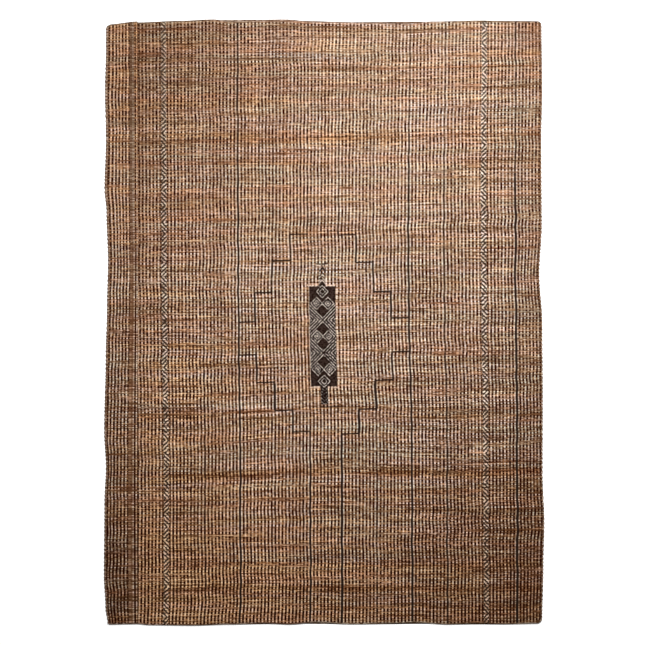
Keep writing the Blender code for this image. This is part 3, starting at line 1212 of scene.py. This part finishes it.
@dataclass(frozen=True)
class HemShape:
    """The plain lip at both ends, and how the cloth's height changes on it."""

    half_length: float = HALF_LENGTH
    lip: float = 0.005
    ribs_start: float = RIBS_FROM_END
    height: float = 0.0062
    edge_height: float = 0.0045
    round_height: float = 0.0020
    tone: float = 0.14

    def shape(self, y: Array, z: Array, yarns: Yarns) -> Array:
        """Lowers the face to the lip and rounds it off at the end.

        Args:
            y: place along the straight rug.
            z: height of the ribbed face.
            yarns: the yarns, which turn plain, dark and greenish on the lip.

        Returns:
            The height of the face with its hems.
        """
        inward = self.half_length - np.abs(y)
        ribbed = eased((inward - self.lip) / (self.ribs_start - self.lip))
        knots = np.array([-0.0007, 0.0, 0.0022, self.lip])
        heights = np.array([self.round_height, self.edge_height, 0.0058, self.height])
        lip = np.interp(inward, knots, heights)
        plain = 1.0 - eased((inward - self.lip + 0.001) / 0.003)
        yarns.gap[:] *= 1.0 - plain
        yarns.dark[:] *= 1.0 - plain
        yarns.tone[:] += plain * (self.tone + 0.07 * y - yarns.tone) * 0.85
        yarns.warmth[:] += plain * (0.12 - yarns.warmth)
        return np.where(ribbed > 0.0, lip + (z - lip) * ribbed, lip)


@dataclass(frozen=True)
class Selvedge:
    """Weft loops that turn round the outer edge of a cloth.

    Args:
        side: 1 at the right of the cloth and -1 at its left.
        seed: picks the loops' unevenness.
        start: the last groove, from which the loops reach out.
        breadth: how far out they reach.
        shut: where the grooves begin to close.
        tone: the loops' tone, its rise along the rug and its swing from loop to gap.
        warmth: the loops' warmth.
        columns: places of the columns across, from the groove outward.
        margin: how far past the groove the loops begin.
    """

    side: int
    seed: int
    start: float
    breadth: float
    shut: float
    # tone: the loops' tone, its rise along the rug and its swing from loop to gap, which paints shade into
    # the gaps between the loops.
    tone: tuple[float, float, float]
    warmth: float
    columns: tuple[float, ...]
    margin: float = 0.0
    heights: tuple[float, ...] = (6.9, 7.3, 7.2, 6.2, 4.5, 2.4)
    pitch: float = 0.0160
    reach: float = 0.0010
    slant: float = 0.9
    relief: float = 0.0005

    def turn(self, x: Array, y: Array, laid_x: Array, z: Array, yarns: Yarns) -> tuple[Array, Array]:
        """Makes the loops: a wave along the edge that slants across it.

        Args:
            x: place across the straight rug.
            y: place along the straight rug.
            laid_x: place across on the floor.
            z: height of the face.
            yarns: the yarns, which take the loops' tone and warmth.

        Returns:
            The place across on the floor and the height, with the loops.
        """
        outward = np.clip(self.side * (x - self.start) / self.breadth, 0.0, None)
        uneven = Unevenness(self.seed, (1, 0.05)).at(0 * y, y)
        slanted = y - self.side * self.slant * self.breadth * outward
        wave = np.sin(2 * np.pi * (slanted / self.pitch + 0.4 * uneven))
        beyond = self.side * (x - self.start) > self.margin
        even, rise, swing = self.tone
        yarns.gap[:] = np.where(beyond, 1.0 - eased(self.side * (x - self.shut) / 0.004), yarns.gap)
        # The swing lightens the loops and darkens the gaps between them: painted shade.
        yarns.tone[:] = np.where(beyond, even + rise * y + swing * wave, yarns.tone)
        yarns.warmth[:] = np.where(beyond, self.warmth, yarns.warmth)
        laid_x = laid_x + self.side * np.where(beyond, self.reach * wave * outward, 0.0)
        return laid_x, np.where(beyond, z - self.relief * (1.0 - wave), z)


@dataclass
class MainPanel:
    """The ribbed main panel, meshed as slices side by side that meet in grooves.

    The strip covers its left margin. One rib of the margin comes out from under the
    strip where the panel lies further to the right.
    """

    lay: RugLay
    weave: RibbedWeave
    design: Design
    strip: "SideStrip"
    hem: HemShape = HemShape()
    selvedge: Selvedge = Selvedge(
        side=1, seed=77, start=0.8700, breadth=0.010, shut=0.8725, tone=(0.30, 0.05, 0.14), warmth=0.30,
        columns=(0.8724, 0.8746, 0.8768, 0.8788, 0.8800, 0.8806), margin=0.0005,
    )
    thickness: float = 0.0085
    ribs_start: float = -0.7376
    ribs: int = 114
    edge: float = -0.7600
    margin_heights: tuple[float, ...] = (2.6, 3.6, 4.0, 4.0, 4.0, 4.0, 4.0, 4.0)
    lift: float = 0.0045
    cuts: tuple[int, ...] = (0, 23, 46, 60, 83, 105, 114)
    per_rib: int = 5
    fine_ribs: tuple[int, int] = (48, 56)
    fine_per_rib: int = 8
    slot: str = "jute_main"

    @property
    def pitch(self) -> float:
        """Distance from rib to rib."""
        return (self.selvedge.start - self.ribs_start) / self.ribs

    def rib_places(self, start: int, end: int) -> Array:
        """Rib counts of a slice's columns: a few to a rib, more on the lattice panel."""
        fine_start, fine_end = self.fine_ribs
        coarse = np.arange(start * self.per_rib, end * self.per_rib + 1) / self.per_rib
        coarse = coarse[(coarse <= fine_start) | (coarse >= fine_end)]
        fine = np.arange(fine_start * self.fine_per_rib, fine_end * self.fine_per_rib + 1) / self.fine_per_rib
        fine = fine[(fine > max(start, fine_start)) & (fine < min(end, fine_end))]
        return np.sort(np.concatenate([coarse, fine]))

    def columns(self, start: int, end: int) -> tuple[Array, Array, Array]:
        """Places, rib counts and fixed heights of a slice's columns.

        Only the margin under the strip and the selvedge have fixed heights.
        """
        ribs = self.rib_places(start, end)
        x = self.ribs_start + ribs * self.pitch
        height = np.full(len(x), np.nan)
        if start == 0:
            rib = self.ribs_start - self.pitch * np.arange(5, 0, -1) / 5
            margin = np.concatenate([self.edge + np.array([0.0, 0.0015, 0.0060]), rib])
            x = np.concatenate([margin, x])
            ribs = np.concatenate([(margin - self.ribs_start) / self.pitch, ribs])
            height = np.concatenate([np.array(self.margin_heights) * MM, height])
        if end == self.ribs:
            edge = np.array(self.selvedge.columns)
            x = np.concatenate([x, edge])
            ribs = np.concatenate([ribs, (edge - self.ribs_start) / self.pitch])
            height = np.concatenate([height, np.array(self.selvedge.heights) * MM])
        return x, ribs, height

    def pieces(self, material: bpy.types.Material) -> list[bpy.types.Object]:
        """Builds and dresses the slices from left to right."""
        made = []
        for number, (start, end) in enumerate(zip(self.cuts, self.cuts[1:]), 1):
            x, ribs, height = self.columns(start, end)
            surface = self.surface(x, ribs, height, end == self.ribs)
            flat = (float(x[-1] - x[0]), self.lay.length)
            name = f"main_panel_{number}"
            piece = link(name, surface.mesh(name))
            piece.data.materials.append(material)
            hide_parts("main_panel")
            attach(piece, "root")
            made.append(piece)
        return made

    def surface(self, x: Array, ribs: Array, height: Array, last: bool) -> ClothSurface:
        """Lays a slice's points on the ribs and wefts, and reads the weave there.

        The lower edge slopes up a little beside the strip.

        Args:
            x: places of the columns across the straight rug.
            ribs: their rib counts.
            height: their fixed heights, if they have any.
            last: whether the slice ends with the selvedge.

        Returns:
            The slice's surface.
        """
        grid_x, grid_y = np.meshgrid(x, RowPlan().places())
        rib = np.broadcast_to(ribs, grid_x.shape)
        weft = grid_y / self.weave.weft_pitch
        off = self.weave.wander(rib, grid_y) + self.weave.sway.at(grid_x, grid_y)
        lifted = (1.0 - eased((grid_x + 0.757) / 0.055)) * eased((-1.05 - grid_y) / 0.12)
        straight_y = grid_y + self.weave.bow(grid_x, grid_y) + self.lift * lifted
        laid_x, laid_y = self.lay.place(grid_x + off * (rib < self.ribs), straight_y)
        p = Places(rib, weft, grid_x, grid_y, laid_y)
        yarns = self.weave.yarns(p)
        extra = self.design.draw(p, yarns)
        z = self.thickness - self.lay.swell(grid_x, grid_y) - yarns.sink
        if last:
            z = np.where(np.isnan(height), z, height)
            laid_x, z = self.selvedge.turn(grid_x, grid_y, laid_x, z, yarns)
        pressed = np.nan_to_num(height) * (ribs < -0.01)
        woven = self.hem.shape(grid_y, z, yarns)
        free = eased((laid_x - self.strip.edge_place(grid_y) - 0.0005) / 0.003)
        z = np.where(pressed > 0.0, pressed + np.clip(woven - pressed, 0.0, None) * free, woven)
        top = np.stack([laid_x, laid_y, z], -1)
        under = np.stack([top[:, -1], top[:, 0]], 1)
        under[:, :, 2] = 0.0
        under[:, :, 0] += np.array([0.0001, -0.0001])
        return ClothSurface(top, under, np.stack([rib, weft], -1), {**yarns.attributes(), **extra})


@dataclass
class SideStrip:
    """The narrow strip: a selvedge, ribs, a smooth band and a last rib over the main panel."""

    lay: RugLay
    weave: RibbedWeave
    hem: HemShape = HemShape()
    selvedge: Selvedge = Selvedge(
        side=-1, seed=78, start=-0.8670, breadth=0.013, shut=-0.8690, tone=(0.25, 0.07, 0.16), warmth=0.35,
        columns=(-0.8700, -0.8746, -0.8768, -0.8788, -0.8800, -0.8806),
    )
    thickness: float = 0.0085
    pitch: float = 0.0140
    ribs: int = 6
    ribs_end: float = -0.7830
    band_end: float = -0.7610
    last_groove: float = -0.7565
    last_crest: float = -0.7490
    edge: float = -0.7425
    edge_heights: tuple[float, ...] = (6.8, 5.4)
    lap_start: float = -0.7643
    lap_height: float = 0.0043
    shift: float = 0.004
    slot: str = "jute_strip"

    def columns(self) -> tuple[Array, Array, Array]:
        """Places, rib counts and fixed heights of the columns. Ribs have no fixed height."""
        start, left = self.selvedge.start, np.array(self.selvedge.columns)[::-1]
        ribs = start + self.pitch * np.arange(5 * self.ribs + 1) / 5
        band = np.array([-0.7805, -0.7770, -0.7735, -0.7700, -0.7665, -0.7630, self.band_end])
        last = np.array([-0.7585, self.last_groove, -0.7540, -0.7515, self.last_crest, -0.7465, -0.7440])
        x = np.concatenate([left, ribs, band, last, np.array([-0.7428, self.edge])])
        knots = (-0.8810, start, self.ribs_end, self.band_end, self.last_groove, self.last_crest, self.edge)
        counts = np.interp(x, knots, (-1.0, 0.0, 6.0, 7.57, 8.0, 8.5, 9.0))
        height = np.full(len(x), np.nan)
        height[:len(left)] = np.array(self.selvedge.heights)[::-1] * MM
        height[-2:] = np.array(self.edge_heights) * MM
        return x, counts, height

    def leaning(self, x: Array, y: Array) -> Array:
        """How far the columns lie off straight.

        The ribs lie to the right near the top and to the left near the bottom. The last
        rib and the lapped edge only lie to the left near the bottom.
        """
        up = eased((y + 0.75) / 1.15)
        ribs = np.interp(x, (-0.8806, -0.8480, self.ribs_end, self.last_crest), (0.0, 1.0, 1.0, 0.0))
        crest = np.interp(x, (self.ribs_end, self.last_crest, self.edge), (0.0, 1.0, 0.0))
        edge = np.interp(x, (self.last_crest, self.edge), (0.0, 1.0))
        return ribs * (0.0105 * up - 0.0053) + crest * (0.0065 * up - 0.0040) + edge * 0.0060 * (up - 1.0)

    def edge_place(self, y: Array) -> Array:
        """Where the lapped edge lies across the rug, at places along the straight rug."""
        x = np.full_like(y, self.edge)
        return self.lay.place(x, y)[0] + self.leaning(x, y)

    def smooth(self, p: Places, yarns: Yarns) -> None:
        """Makes the smooth band, with a pale greenish crest that is partly painted highlight and a dark
        groove of painted shade on the flat band, and the last rib.

        Low down the crest and the groove lie further right, and the band is browner.
        """
        band = eased((p.rib - 6.0) / 0.25) * eased((7.85 - p.rib) / 0.25)
        low = eased((0.5 - p.y) / 0.5)
        # The crest is partly painted highlight and the groove painted shade: the band itself is flat.
        crest = hump((p.rib - 7.20 - 0.35 * low) / 0.38)
        groove = hump((p.rib - 6.65 - 0.40 * low) / 0.38) * (0.10 + 0.20 * low)
        plain = 0.12 - 0.04 * p.y - 0.06 * eased((p.y - 0.5) / 0.4) - 0.03 * low
        yarns.gap[:] *= 1.0 - band
        yarns.gap[:] += 0.35 * hump((p.rib - 7.95) / 0.5) * low
        yarns.tone[:] += band * (plain + 0.28 * crest - groove - yarns.tone) * 0.9
        yarns.tone[:] -= (0.07 + 0.09 * p.y) * hump((p.rib - 8.5) / 0.6)
        yarns.warmth[:] += band * (0.40 + 0.40 * low - 0.35 * crest - yarns.warmth) * 0.8
        yarns.sink[:] += band * (0.0008 - yarns.sink)

    def underside(self, top: Array, straight_y: Array) -> Array:
        """The underside: it lies on the margin of the main panel, and then on the floor.

        Args:
            top: points of the face, rows by columns by three.
            straight_y: places of the rows along the rug before it is laid.

        Returns:
            Points from the lapped edge back to the selvedge, rows by four by three.
        """
        along = straight_y[:, -1:]
        lap_x, lap_y = self.lay.place(self.lap_start + 0.0 * along, along, self.shift)
        turn = np.concatenate([lap_x, lap_y, 0.0 * lap_x], -1)[:, None, :]
        shelf, tip, left = turn.copy(), top[:, -1:].copy(), top[:, :1].copy()
        shelf[:, :, 2] = np.minimum(self.lap_height, tip[:, :, 2] - 0.0004)
        tip[:, :, 0] -= 0.0004
        tip[:, :, 2] = shelf[:, :, 2]
        left[:, :, 2] = 0.0
        return np.concatenate([tip, shelf, turn, left], 1)

    def piece(self, material: bpy.types.Material) -> bpy.types.Object:
        """Builds and dresses the strip."""
        x, ribs, height = self.columns()
        grid_x, grid_y = np.meshgrid(x, RowPlan().places())
        rib = np.broadcast_to(ribs, grid_x.shape)
        weft = grid_y / self.weave.weft_pitch
        wander = self.weave.wander(rib, grid_y) * (rib > 0) * (rib < self.ribs)
        straight_y = grid_y + self.weave.bow(grid_x, grid_y)
        laid_x, laid_y = self.lay.place(grid_x + wander, straight_y, self.shift)
        laid_x = laid_x + self.leaning(grid_x, grid_y)
        p = Places(rib, weft, grid_x, grid_y, laid_y)
        yarns = self.weave.yarns(p)
        self.smooth(p, yarns)
        z = self.thickness - self.lay.swell(grid_x, grid_y) - yarns.sink
        z = np.where(np.isnan(height), z, height)
        z = np.where(grid_x > self.lap_start - 0.001, np.maximum(z, self.lap_height + 0.0006), z)
        laid_x, z = self.selvedge.turn(grid_x, grid_y, laid_x, z, yarns)
        z = self.hem.shape(grid_y, z, yarns)
        top = np.stack([laid_x, laid_y, z], -1)
        under = self.underside(top, straight_y)
        surface = ClothSurface(top, under, np.stack([rib, weft], -1), yarns.attributes(), folds=4)
        made = link("side_strip_cloth", surface.mesh("side_strip_cloth"))
        made.data.materials.append(material)
        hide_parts("side_strip")
        float(x[-1] - x[0])
        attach(made, "root")
        return made


# ---- The room


@dataclass(frozen=True)
class Studio:
    """A pale floor, a soft light over the rug's top end and a camera straight above."""

    view_width: float = 2.580
    view_x: float = -0.006
    view_y: float = 0.0
    camera_height: float = 8.0
    sensor: float = 36.0
    key_place: tuple[float, float, float] = (0.40, 1.05, 2.60)
    key_size: float = 1.2
    key_power: float = 144.5
    sky: float = 0.10
    key_aim: tuple[float, float, float] = (0.10, 0.10, 0.0)
    floor_side: float = 30.0
    floor_z: float = -0.0003
    floor_colour: Colour = (0.93, 0.93, 0.93)
    floor_glow: float = 0.42

    def build(self) -> None:
        """Makes the floor, the lights and the camera."""
        self.floor()
        self.lights()
        self.camera()
        view = bpy.context.scene.view_settings
        view.view_transform = "Standard"
        view.look = "None"

    def floor(self) -> None:
        """A square floor just below the rug, in a pale matt colour that glows a little."""
        half = self.floor_side / 2
        corners = [(x * half, y * half, self.floor_z) for x, y in ((-1, -1), (1, -1), (1, 1), (-1, 1))]
        mesh = bpy.data.meshes.new("floor")
        mesh.from_pydata(corners, [], [(0, 1, 2, 3)])
        floor = link("floor", mesh)
        finish = bpy.data.materials.new("pale_floor")
        finish.use_nodes = True
        inputs = finish.node_tree.nodes["Principled BSDF"].inputs
        inputs["Base Color"].default_value = (*self.floor_colour, 1.0)
        inputs["Roughness"].default_value = 0.9
        inputs["Specular IOR Level"].default_value = 0.1
        inputs["Emission Color"].default_value = (1.0, 1.0, 1.0, 1.0)
        inputs["Emission Strength"].default_value = self.floor_glow
        mesh.materials.append(finish)

    def lights(self) -> None:
        """A soft round light that aims near the middle, under an even pale sky."""
        light = bpy.data.lights.new("key", "AREA")
        light.shape = "DISK"
        light.size = self.key_size
        light.energy = self.key_power
        key = link("key", light)
        key.location = self.key_place
        key.visible_camera = False
        aim = Vector(self.key_aim) - Vector(self.key_place)
        key.rotation_mode = "QUATERNION"
        key.rotation_quaternion = aim.to_track_quat("-Z", "Y")
        world = bpy.data.worlds.new("soft_sky")
        world.use_nodes = True
        inputs = world.node_tree.nodes["Background"].inputs
        inputs["Color"].default_value = (1.0, 1.0, 1.0, 1.0)
        inputs["Strength"].default_value = self.sky
        bpy.context.scene.world = world

    def camera(self) -> None:
        """A camera straight above that takes in the whole rug."""
        lens = bpy.data.cameras.new("camera")
        lens.sensor_width = self.sensor
        lens.lens = self.sensor * self.camera_height / self.view_width
        lens.clip_end = 100.0
        camera = link("camera", lens)
        camera.location = (self.view_x, self.view_y, self.camera_height)
        bpy.context.scene.camera = camera


def streaks() -> tuple[Streak, ...]:
    """The runs of dark, rusty wefts from the top of the rug down, each with its middle
    along the rug, its two ends across, its half height and its strength."""
    rows = (
        (1.178, -0.66, 0.66, 0.006, 0.7), (1.110, -0.60, 0.45, 0.006, 0.6),
        (1.050, 0.00, 0.90, 0.007, 0.8), (0.995, -0.05, 0.90, 0.007, 0.8),
        (0.905, -0.65, 0.90, 0.010, 0.7), (0.875, -0.65, -0.35, 0.006, 0.5),
        (0.820, -0.90, -0.05, 0.006, 0.6), (0.785, -0.62, 0.62, 0.006, 0.6),
        (0.720, -0.90, 0.90, 0.009, 1.0), (0.690, 0.05, 0.90, 0.006, 0.5),
        (0.647, -0.65, 0.90, 0.006, 0.6), (0.628, -0.90, 0.90, 0.008, 0.9),
        (0.563, -0.90, -0.05, 0.006, 0.6), (0.492, -0.90, -0.35, 0.006, 0.6),
        (0.407, -0.90, -0.05, 0.007, 0.7), (0.350, 0.05, 0.90, 0.007, 0.7),
        (0.278, -0.10, 0.90, 0.007, 0.9), (0.238, -0.35, -0.05, 0.006, 0.6),
        (0.200, 0.05, 0.40, 0.007, 0.8), (0.128, -0.90, -0.62, 0.006, 0.7),
        (0.100, 0.05, 0.90, 0.007, 0.9), (0.070, -0.90, -0.35, 0.006, 0.6),
        (-0.075, -0.35, 0.90, 0.006, 0.6), (-0.102, -0.62, -0.05, 0.006, 0.6),
        (-0.173, -0.90, 0.90, 0.009, 0.9), (-0.295, -0.90, 0.35, 0.007, 0.6),
        (-0.368, -0.65, 0.90, 0.009, 1.0), (-0.398, 0.35, 0.90, 0.007, 0.9),
        (-0.455, 0.35, 0.90, 0.007, 0.8), (-0.473, -0.62, 0.35, 0.006, 0.5),
        (-0.620, -0.65, 0.90, 0.016, 1.0), (-0.695, 0.05, 0.90, 0.008, 0.8),
        (-0.765, 0.10, 0.90, 0.008, 0.6), (-0.790, -0.65, -0.05, 0.008, 0.7),
        (-0.830, -0.35, 0.90, 0.008, 0.5), (-0.862, 0.35, 0.70, 0.006, 0.5),
        (-0.905, -0.65, 0.90, 0.007, 0.5), (-0.967, -0.90, 0.90, 0.008, 0.6),
        (-1.064, -0.90, 0.90, 0.014, 1.1), (-1.104, -0.65, -0.05, 0.006, 0.5),
        (-1.138, 0.05, 0.90, 0.008, 0.6), (-1.178, -0.35, 0.40, 0.006, 0.6),
    )
    return tuple(Streak(*row) for row in rows)


def rug_design() -> Design:
    """The dark lines, the stepped diamond, the stitched bands and the lattice panel.

    Lines are rows of groove, strength and the two ends along the rug, and steps are rows
    of place along the rug, the two grooves and, for the short ones, the strength.
    """
    long_lines = (
        (9, 0.38), (18, 0.46), (28, 0.88), (38, 0.34), (48, 0.56, 0.353, 1.3),
        (48, 0.78, -1.3, -0.437), (57, 0.56, 0.350, 1.3), (57, 0.96, -1.3, -0.445), (67, 0.45),
        (77, 0.88, -1.3, 0.760), (77, 0.66, 0.760, 1.3), (87, 0.62), (107, 0.98, -1.3, 0.600),
        (107, 0.78, 0.600, 1.3),
    )
    diamond_sides = (
        (43, 0.70, 0.247, 0.353), (38, 0.70, 0.119, 0.247), (33, 0.90, 0.002, 0.119),
        (62, 0.80, 0.241, 0.350), (67, 0.80, 0.124, 0.241), (72, 0.90, 0.019, 0.124),
        (33, 0.85, -0.239, -0.130), (38, 1.00, -0.351, -0.239), (43, 0.85, -0.437, -0.351),
        (72, 0.80, -0.230, -0.116), (67, 1.03, -0.346, -0.230), (62, 1.00, -0.445, -0.346),
    )
    diamond_steps = (
        (0.353, 43, 48), (0.247, 38, 43), (0.119, 33, 38), (0.002, 28, 33), (0.350, 57, 62),
        (0.241, 62, 67), (0.124, 67, 72), (0.019, 72, 77), (-0.130, 28, 33), (-0.239, 33, 38),
        (-0.351, 38, 43), (-0.437, 43, 48), (-0.116, 72, 77), (-0.230, 67, 72), (-0.346, 62, 67),
        (-0.445, 57, 62),
    )
    short_steps = ((-0.514, 49.5, 54.3, 0.6), (-0.336, 51, 57.5, 0.6))
    lines = tuple(WarpLine(*row) for row in long_lines + diamond_sides)
    steps = tuple(Step(*row) for row in diamond_steps + short_steps)
    return Design(lines, steps, (StitchedBand(6, 5), StitchedBand(97, 6)), LatticePanel())


def main() -> None:
    """Builds the rug and its room, and reports each piece."""
    logging.basicConfig(level=logging.INFO, format="%(name)s: %(message)s")
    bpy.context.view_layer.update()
    lay = RugLay()
    palette, fibre = JutePalette().group(), SpunFibre().group()
    main_finish = JuteFinish("jute_main").material(palette, fibre, DesignYarns().group())
    strip_finish = JuteFinish("jute_strip").material(palette, fibre)
    # Both drifts are partly the yarns' dye and partly painted shade: their square terms darken the sides and
    # ends where the light falls off.
    strip_drift = DyeAndShadeDrift(
        tone=(-0.09, 0.0, 0.09, 0.0, 0.0, -0.14),
        warmth=(-0.06, 0.0, 0.04, 0.0, 0.0, 0.23),
    )
    panel_drift = DyeAndShadeDrift(
        tone=(0.01, 0.01, -0.03, 0.16, -0.20, -0.04),
        warmth=(-0.09, -0.20, -0.15, 0.17, 0.12, 0.19),
    )
    strip = SideStrip(lay, RibbedWeave(8, openness=0.14, drift=strip_drift), HemShape(tone=0.08))
    panel = MainPanel(lay, RibbedWeave(3, streaks=streaks(), drift=panel_drift), rug_design(), strip)
    for piece in panel.pieces(main_finish):
        log.info("%s: %d faces", piece.name, len(piece.data.polygons))
    piece = strip.piece(strip_finish)
    log.info("%s: %d faces", piece.name, len(piece.data.polygons))
    Studio().build()


if __name__ == "__main__":
    main()
